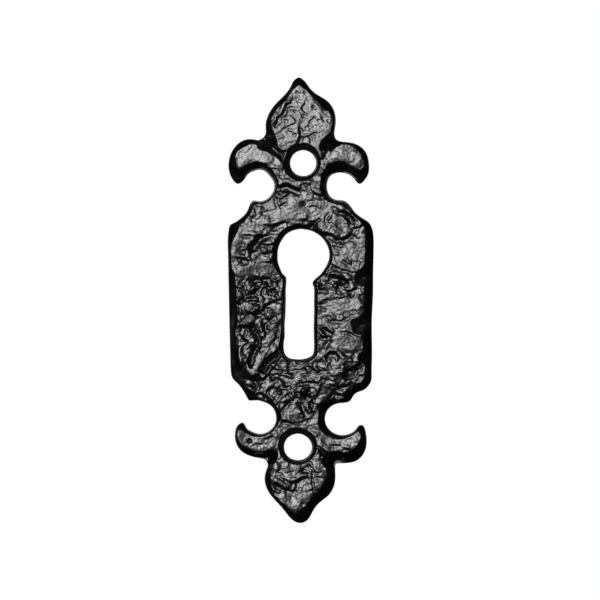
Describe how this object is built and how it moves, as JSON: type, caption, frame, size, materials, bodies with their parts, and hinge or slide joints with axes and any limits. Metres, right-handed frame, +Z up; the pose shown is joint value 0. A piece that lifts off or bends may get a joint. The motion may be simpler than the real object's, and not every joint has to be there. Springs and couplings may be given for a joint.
{
  "type": "keyhole escutcheon",
  "caption": "Flat cast keyhole cover plate with fleur-de-lis ends, a keyhole through its panel and countersunk screw holes, for a door or drawer lock.",
  "frame": {"origin": "the axis of the keyhole's round part, at the back face that lies on the wood", "axes": "+Z up along the plate's length, with the keyhole's slot below the round; -Y out of the face, towards the viewer; +Y into the wood; +X to the viewer's right"},
  "size_m": [0.0279, 0.003, 0.0851],
  "materials": {
    "escutcheon_plate": "black paint, semi-gloss, over a hammered casting"
  },
  "bodies": {
    "root": {"escutcheon_plate": "escutcheon_plate"}
  },
  "joints": []
}
